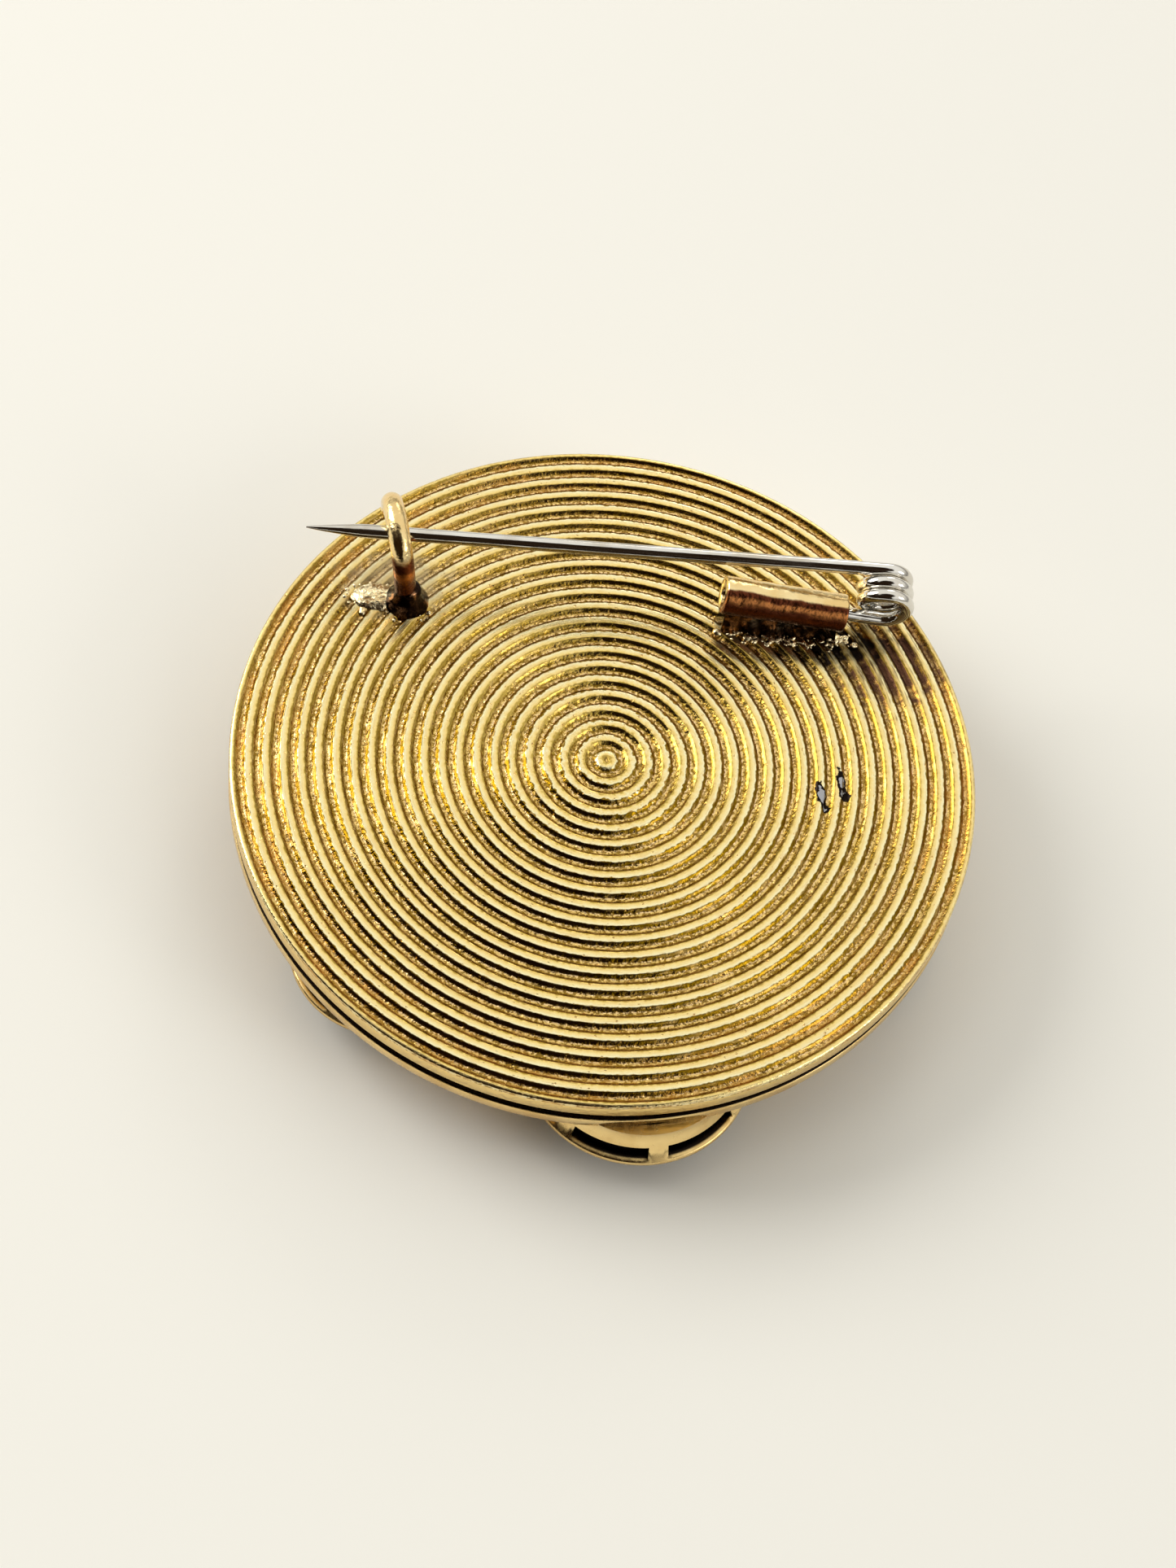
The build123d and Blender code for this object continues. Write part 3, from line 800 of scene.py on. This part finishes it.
# %% Solder under the tube: a web, drawn out at its foot, and crumbs before it
# Section of the web: across in mm, and height as a share of the tube's
WEB = [
    (-0.85, -0.16), (-0.66, 0.18), (-0.52, 0.50), (-0.50, 0.82), (0, 1.0),
    (0.60, 0.82), (0.85, 0.45), (1.10, 0.22), (1.30, -0.16),
]
web_inset, stations = 0.25, 48
frames = []
for k in range(stations + 1):
    x, y, z = tube_point(web_inset + (tube_l - 2 * web_inset) * k / stations)
    frames.append(Matrix.Translation((x, y, 0)) @ Matrix.Scale(z, 4, (0, 0, 1)))
bm = bmesh.new()
section = [bm.verts.new(frames[0] @ Vector((0, across, share))) for across, share in WEB]
bmesh.ops.contextual_create(bm, geom=section)
drawn_along(bm, bm.edges[:], frames)
bmesh.ops.subdivide_edges(bm, edges=bm.edges[:], cuts=1, smooth=0.6, use_grid_fill=True)
roughen(bm, 0.10, 1.2)
in_pin_frame(bm)
# The web's black flux is partly painted shade under the tube
new_piece("tube_solder", bm, solder, stands_for=["back_plate"])

middle = tube_point(tube_l / 2)
bm = bmesh.new()
crumbs(
    bm, 80, centre=(middle[0] + 0.3, middle[1] - 0.9), reach=(4.2, 0.55),
    smallest=0.06, largest=0.27, seed=11,
)
crumbs(
    bm, 30, centre=(middle[0] + 3.4, middle[1] - 0.6), reach=(1.0, 1.1),
    smallest=0.06, largest=0.28, seed=12,
)
crumbs(
    bm, 14, centre=(middle[0], middle[1] + 1.4), reach=(3.6, 0.4),
    smallest=0.06, largest=0.16, seed=13,
)
roughen(bm, 0.08, 3.0)
in_pin_frame(bm)
new_piece("tube_crumbs", bm, bright_solder, stands_for=["back_plate"])

# %% [markdown]
# ## Front plate and its settings
#
# The plate is a turned disc. Each setting is a thin wall that flares towards the front: its
# closed section is spun, the faces of every slot are taken away on both sides, and the two
# openings are bridged. The slots and the groove between the plates get painted shade, so
# the points of the inner wall and of the disc's top are marked for the material.

# %% Front gold: polished, with painted shade on the points marked inside
polished_gold = (0.90, 0.67, 0.30, 1)
polish_tarnish = (0.58, 0.34, 0.10, 1)

front_gold, tree, shader = metal("front_gold")
aged = use(tree, tarnish, Metal=polished_gold, Tarnish=polish_tarnish, Amount=0.7, Patches_per_mm=0.28)
fine = use(tree, cast_grain, Per_mm=3.0, Coarse_share=0.4)
dulled = math(tree, "MULTIPLY", aged["Mask"], 0.12)
roughness = math(tree, "ADD", ramp(tree, fine["Height"], 0.35, 0.65, 0.18, 0.28), dulled)
# Points marked inside are painted black as shade
inside = ramp(tree, add(tree, "Attribute", attribute_name="inside").outputs["Fac"], 0.10, 0.35)
colour = mix(tree, inside, aged["Color"], soot_and_shade)
connect(tree, shader, colour, roughness, fine["Height"], depth_mm=0.014)

# %% Front plate
front_top, front_face = -1.75, -2.6
DISC = [
    (0, front_top), (19.8, front_top), (plate_r - 0.15, front_top), (plate_r - 0.03, front_top - 0.05),
    (plate_r, front_top - 0.16), (plate_r, front_face + 0.16), (plate_r - 0.03, front_face + 0.05),
    (plate_r - 0.15, front_face), (10, front_face), (0, front_face),
]
bm = bmesh.new()
turned(bm, DISC, 240, shares=8)
# The disc's top, in the gap under the back, is marked for painted shade
mark(bm, "inside", lambda co: float(co.z > front_top - 0.01))
new_piece("front_disc", bm, front_gold, stands_for=["front_plate"])

# %% Settings, with the slots of their galleries
cup_h, cup_wall, cup_flare, rail_lip = 2.1, 0.6, 0.8, 0.12
cup_root = 0.3      # how far the wall reaches into the plate
slot_high, slot_low = front_face - 0.75, front_face - 1.65
small_step, small_web = 61.25, 109.3
# Angle is where a setting stands and web where its first web points, both in degrees
SETTINGS = [dict(name="bottom", angle=270.0, web=272.6, at=16.044, rim_r=6.405, slots=7)]
for k in range(5):
    turn = (k - 2) * small_step
    small = dict(name=str(k + 1), angle=90 + turn, web=small_web + turn, at=15.393, rim_r=5.397, slots=6)
    SETTINGS.append(small)
slot_steps, web_steps = 16, 4


def moved_to(setting, bm):
    """From the middle of the brooch to where the setting stands."""
    a = radians(setting["angle"])
    spot = (setting["at"] * cos(a), setting["at"] * sin(a), 0)
    bmesh.ops.translate(bm, vec=spot, verts=bm.verts)


wall_slope = (cup_flare - rail_lip) / (front_face - slot_low)


def wall_section(setting):
    """Up the outer face of the wall from the plate to its rim, and back down the inner face."""
    rim_r, rim = setting["rim_r"], front_face - cup_h
    root_r, inner_r = rim_r - cup_flare, rim_r - cup_wall
    slot_high_r = root_r + (front_face - slot_high) * wall_slope
    return [
        (root_r, front_face + cup_root), (root_r, front_face),
        (root_r + 0.35 * wall_slope, front_face - 0.35), (slot_high_r, slot_high),
        (rim_r - rail_lip, slot_low), (rim_r - 0.03, slot_low - 0.05),
        (rim_r, slot_low - rail_lip), (rim_r, rim + rail_lip), (rim_r - 0.04, rim + 0.04),
        (rim_r - rail_lip, rim), (inner_r + 0.10, rim), (inner_r + 0.03, rim + 0.03),
        (inner_r, rim + 0.10), (inner_r - rail_lip, slot_low), (slot_high_r - cup_wall, slot_high),
        (root_r - cup_wall, front_face), (root_r - cup_wall, front_face + cup_root),
        (root_r, front_face + cup_root),
    ]


for setting in SETTINGS:
    per_slot = slot_steps + web_steps
    steps = per_slot * setting["slots"]
    start = radians(setting["web"]) - tau * web_steps / 2 / steps

    def place_of(part):
        """Which web and slot a face or edge is in, and how many steps from their start.

        An edge right on the border between two slots may count for either, by rounding.
        """
        middle = sum((vert.co for vert in part.verts), Vector()) / len(part.verts)
        return middle.z, divmod((atan2(middle.y, middle.x) - start) / tau * steps % steps, per_slot)

    def inner(co):
        """1 on the inner wall, at the height of the slots."""
        outer_r = setting["rim_r"] - cup_flare + wall_slope * (front_face - co.z)
        return float(slot_low - 0.01 < co.z < slot_high + 0.01 and co.xy.length < outer_r - cup_wall / 2)

    bm = bmesh.new()
    turned(bm, wall_section(setting), steps)
    openings = []
    for face in bm.faces:
        z, (slot, step) = place_of(face)
        if slot_low < z < slot_high and step > web_steps:
            openings.append(face)
    bmesh.ops.delete(bm, geom=openings, context="FACES")
    cut = [edge for edge in bm.edges if edge.is_boundary]
    for slot in range(setting["slots"]):
        bmesh.ops.bridge_loops(bm, edges=[edge for edge in cut if place_of(edge)[1][0] == slot])
    # The inner wall at the slots is marked for painted shade
    mark(bm, "inside", inner)
    moved_to(setting, bm)
    new_piece("setting_" + setting["name"], bm, front_gold, stands_for=["front_plate"])

# %% [markdown]
# ## Stones
#
# Six plain domes of nearly black glass, one in each setting. A dome is part of a sphere, so
# its outline is an arc, spun like the other turned shapes.

# %% Dark glass and the domes
black_glass = (0.012, 0.008, 0.009, 1)
glass, tree, shader = metal("dark_stone", metallic=0.0)
shader.inputs["Base Color"].default_value = black_glass
shader.inputs["IOR"].default_value = 1.52
dust = add(tree, "TexNoise", {"Vector": place_in_mm(tree), "Scale": 1.1, "Detail": 5.0}).outputs[0]
connect(tree, shader, roughness=ramp(tree, dust, 0.45, 0.75, 0.03, 0.16), height=dust, depth_mm=0.01)

stone_rise, stone_gap, stone_lift = 2.3, 0.08, 0.1
for setting in SETTINGS:
    girdle_r, rim = setting["rim_r"] - cup_wall - stone_gap, front_face - cup_h
    dome_r = (girdle_r**2 + stone_rise**2) / (2 * stone_rise)
    widest = asin(girdle_r / dome_r)
    base = front_face - stone_lift
    outline = [(0, base), (girdle_r - cup_flare, base), (girdle_r - 0.03, rim + 0.05)]
    for k in range(15):
        a = widest * (1 - k / 14)
        outline.append((dome_r * sin(a), rim - stone_rise + dome_r * (1 - cos(a))))
    bm = bmesh.new()
    turned(bm, outline, 72)
    moved_to(setting, bm)
    new_piece("stone_" + setting["name"], bm, glass, stands_for=["stone_" + setting["name"]])

# %% [markdown]
# ## Lion's head
#
# A cast relief is a height over a plane, so the head starts as a turned disc whose outline
# reaches out between the stones. Its top is then raised by a height that adds up rounded
# forms: locks of the mane in rings, then the face over them. How much lower a point lies than
# the points round it is kept as an attribute, and the material darkens those hollows.

# %% Heights of the relief, in arrays
face_r = 4.6
longest = 2.78          # furthest reach of the relief, as a share of face_r
relief_top = 3.58       # tallest that the relief may be
setting_gap = 0.55      # between the relief and the foot of a setting
hollow_reach = 0.45     # how far away the points lie that a hollow is measured against
edge_slope = 0.45       # width of the slope at the edge
relief_back = front_face - 0.05


def blend_up(a, b, soft):
    """The higher of two heights, with a rounded seam between them."""
    share = np.clip(0.5 + 0.5 * (b - a) / soft, 0, 1)
    return a + (b - a) * share + soft * share * (1 - share)


def ease(value, start, end):
    """A soft step from 0 at start to 1 at end."""
    share = np.clip((value - start) / (end - start), 0, 1)
    return share * share * (3 - 2 * share)


def mound(x, y, middle, radii, turn=0.0):
    """1 in the middle of an ellipse, 0 at its edge and negative beyond."""
    a, b = x - middle[0], y - middle[1]
    along, across = a * cos(turn) + b * sin(turn), b * cos(turn) - a * sin(turn)
    return 1 - (along / radii[0]) ** 2 - (across / radii[1]) ** 2


def reach(turn):
    """How far the relief runs in one direction before it meets a setting."""
    far = longest * face_r
    for setting in SETTINGS:
        off = abs((turn - radians(setting["angle"]) + pi) % tau - pi)
        near = setting["rim_r"] - cup_flare + setting_gap
        miss = setting["at"] * sin(min(off, pi / 2))
        if miss < near:
            far = min(far, setting["at"] * cos(off) - sqrt(near**2 - miss**2))
    return far


# Locks in rings, the lowest first. Radii and half widths are shares of face_r, heights in mm.
# A tip is where the relief reaches furthest; nearer a setting the locks are shorter.
MANE = [
    dict(locks=26, first=0.0, root=1.2, tip=2.72, half=0.37, height=0.95, curl=0.12),
    dict(locks=24, first=7.0, root=1.2, tip=2.42, half=0.36, height=1.30, curl=-0.16),
    dict(locks=22, first=3.0, root=1.0, tip=2.12, half=0.35, height=1.70, curl=0.20),
    dict(locks=20, first=10.0, root=0.9, tip=1.84, half=0.33, height=2.05, curl=-0.20),
    dict(locks=18, first=4.0, root=0.75, tip=1.58, half=0.31, height=2.40, curl=0.18),
]


def mane(x, y, height):
    """Pointed locks that curl a little, each with a groove on either side of its keel."""
    far, turn = np.hypot(x, y) / face_r, np.arctan2(y, x)
    for ring in MANE:
        for k in range(ring["locks"]):
            begin = radians(ring["first"]) + tau * k / ring["locks"]
            tip = ring["tip"] * reach((begin + pi) % tau - pi) / (longest * face_r)
            along = (far - ring["root"]) / (tip - ring["root"])
            middle = begin + ring["curl"] * np.clip(along, 0, 1) ** 2
            off = (turn - middle + pi) % tau - pi
            half = ring["half"] * np.sqrt(np.clip(1.02 - along, 0.001, 1)) * ease(along, -0.5, 0.1)
            across = off * far / np.maximum(half, 0.01)
            inside = (np.abs(across) < 1) & (along > -0.3) & (along < 1)
            strands = 1 - 0.22 * (0.5 - 0.5 * np.cos(2 * tau * across))
            shape = np.sqrt(np.clip(1 - across**2, 0, 1)) * strands
            tall = ring["height"] * (1 - 0.55 * np.clip(along, 0, 1) ** 2)
            raised = np.where(inside, 0.40 * tall + 0.60 * tall * shape, 0)
            raised = raised * ease(along, 1.0, 0.9)
            height = np.where(inside, blend_up(height, raised, 0.08), height)
    return height


# Forms of the face in shares of face_r: side, up, half widths, turn, height and rounding in mm.
# A side other than 0 is mirrored.
FORMS = [
    dict(part="skull", at=(0, 0.05), radii=(1.12, 1.24), turn=0, base=1.5, rise=0.95, soft=0.25),
    dict(part="ear", at=(1.02, 0.98), radii=(0.36, 0.38), turn=-0.7, base=1.7, rise=0.85, soft=0.12),
    dict(part="forehead", at=(0.28, 0.74), radii=(0.44, 0.44), turn=0.2, base=2.1, rise=0.55, soft=0.25),
    dict(part="cheek", at=(0.74, -0.26), radii=(0.38, 0.62), turn=-0.2, base=1.75, rise=0.75, soft=0.3),
    dict(part="jaw", at=(0.38, -0.90), radii=(0.36, 0.34), turn=0.4, base=1.6, rise=0.65, soft=0.25),
    dict(part="nose bridge", at=(0, 0.22), radii=(0.34, 0.78), turn=0, base=2.2, rise=0.80, soft=0.2),
    dict(part="brow", at=(0.46, 0.53), radii=(0.42, 0.18), turn=0.32, base=2.3, rise=0.80, soft=0.15),
    dict(part="muzzle", at=(0.32, -0.47), radii=(0.40, 0.33), turn=-0.12, base=2.3, rise=0.95, soft=0.15),
    dict(part="chin", at=(0, -0.98), radii=(0.30, 0.22), turn=0, base=1.9, rise=0.85, soft=0.15),
    dict(part="nose", at=(0, -0.13), radii=(0.34, 0.20), turn=0, base=2.6, rise=0.98, soft=0.1),
    dict(part="nose tip", at=(0, -0.26), radii=(0.20, 0.16), turn=0, base=2.6, rise=0.90, soft=0.1),
]
HOLLOWS = [
    dict(part="eye socket", at=(0.49, 0.24), radii=(0.30, 0.20), turn=0.30, depth=0.60),
    dict(part="ear", at=(0.99, 0.92), radii=(0.21, 0.25), turn=-0.7, depth=0.40),
    dict(part="ear's depth", at=(0.96, 0.87), radii=(0.15, 0.18), turn=-0.7, depth=0.55),
    dict(part="nostril", at=(0.18, -0.17), radii=(0.085, 0.05), turn=0.7, depth=0.40),
    dict(part="forehead seam", at=(0, 0.92), radii=(0.06, 0.34), turn=0, depth=0.25),
    dict(part="lip seam", at=(0, -0.53), radii=(0.045, 0.24), turn=0, depth=0.45),
    dict(part="mouth", at=(0.30, -0.80), radii=(0.34, 0.055), turn=0.26, depth=0.75),
    dict(part="cheek line", at=(0.70, -0.42), radii=(0.05, 0.40), turn=-0.45, depth=0.22),
]
EYES = [
    dict(part="eyeball", at=(0.49, 0.22), radii=(0.19, 0.14), turn=0.30, depth=-0.46),
    dict(part="pupil", at=(0.47, 0.22), radii=(0.055, 0.06), turn=0, depth=0.22),
    dict(part="upper lid", at=(0.50, 0.34), radii=(0.26, 0.06), turn=0.34, depth=-0.32),
    dict(part="lower lid", at=(0.50, 0.09), radii=(0.22, 0.045), turn=0.22, depth=-0.18),
]


def both_sides(form):
    """Middle, half widths and turn of a form in mm, and of its mirror image if it has one."""
    for way in (1, -1) if form["at"][0] else (1,):
        middle = (way * form["at"][0] * face_r, form["at"][1] * face_r)
        yield middle, [radius * face_r for radius in form["radii"]], way * form["turn"]


def relief(x, y, edge):
    """Height over the back of the relief. Edge is how far inside the outline a point lies."""
    far = np.hypot(x, y) / face_r
    height = 0.35 + 0.9 * ease(far, 2.2, 1.2)
    height = mane(x, y, height)
    for form in FORMS:
        for middle, radii, turn in both_sides(form):
            inside = mound(x, y, middle, radii, turn)
            raised = form["base"] + form["rise"] * np.sqrt(np.clip(inside, 0, 1))
            raised = np.where(inside > 0, raised, form["base"] + 2.5 * inside)
            height = blend_up(height, raised, form["soft"])
    for form in HOLLOWS + EYES:
        for middle, radii, turn in both_sides(form):
            height = height - form["depth"] * ease(mound(x, y, middle, radii, turn), -0.15, 0.7)
    for row in range(3):
        for k in range(4):
            place = (0.22 + 0.10 * k, -0.38 - 0.10 * row - 0.02 * k)
            whisker_pit = dict(at=place, radii=(0.028, 0.028), turn=0)
            for middle, radii, turn in both_sides(whisker_pit):
                height = height - 0.10 * ease(mound(x, y, middle, radii, turn), -0.2, 0.8)
    return np.minimum(height, relief_top) * ease(edge, 0, edge_slope)


# %% Raise the relief from a turned disc
bm = bmesh.new()
rings = 150
outline = [(k / rings, 1.0) for k in range(rings + 1)] + [(1.0, 0.0), (0, 0.0)]
turned(bm, outline, 480, shares=20)
corners = np.array([vert.co for vert in bm.verts])
turns = np.arctan2(corners[:, 1], corners[:, 0])
directions = np.linspace(-pi, pi, 721)
reaches = np.interp(turns, directions, [reach(a) for a in directions])
share = np.hypot(corners[:, 0], corners[:, 1])
x, y = share * reaches * np.cos(turns), share * reaches * np.sin(turns)
edge = (1 - share) * reaches
heights = relief(x, y, edge)
offsets = [(hollow_reach * cos(a), hollow_reach * sin(a)) for a in np.linspace(0, tau, 9)[:8]]
around = sum(relief(x + dx, y + dy, edge) for dx, dy in offsets) / len(offsets)
on_top = corners[:, 2] > 0.5
layer = bm.verts.layers.float.new("hollow")
for vert, px, py, pz, top, low in zip(bm.verts, x, y, heights, on_top, around - heights):
    vert.co = (px, py, relief_back - pz if top else relief_back)
    vert[layer] = low if top else 0.0

# %% Cast gold: antiqued, dark in the hollows and rubbed bright on the high forms
rubbed_gold = (0.93, 0.70, 0.34, 1)
rubbed_tarnish = (0.72, 0.46, 0.16, 1)
grime_colour = (0.055, 0.028, 0.014, 1)

cast_gold, tree, shader = metal("cast_gold")
hollow = add(tree, "Attribute", attribute_name="hollow").outputs["Fac"]
grime = ramp(tree, hollow, -0.02, 0.22)
aged = use(tree, tarnish, Metal=rubbed_gold, Tarnish=rubbed_tarnish, Amount=0.6, Patches_per_mm=0.4)
colour = mix(tree, grime, aged["Color"], grime_colour)
grain = use(tree, cast_grain, Per_mm=5.0, Coarse_share=0.4)
rubbed = ramp(tree, hollow, 0.0, -0.18, 0.30, 0.13)
roughness = math(tree, "ADD", rubbed, math(tree, "MULTIPLY", grime, 0.25))
connect(tree, shader, colour, roughness, grain["Height"], depth_mm=0.05)
new_piece("lion_relief", bm, cast_gold, stands_for=["lion_head"])
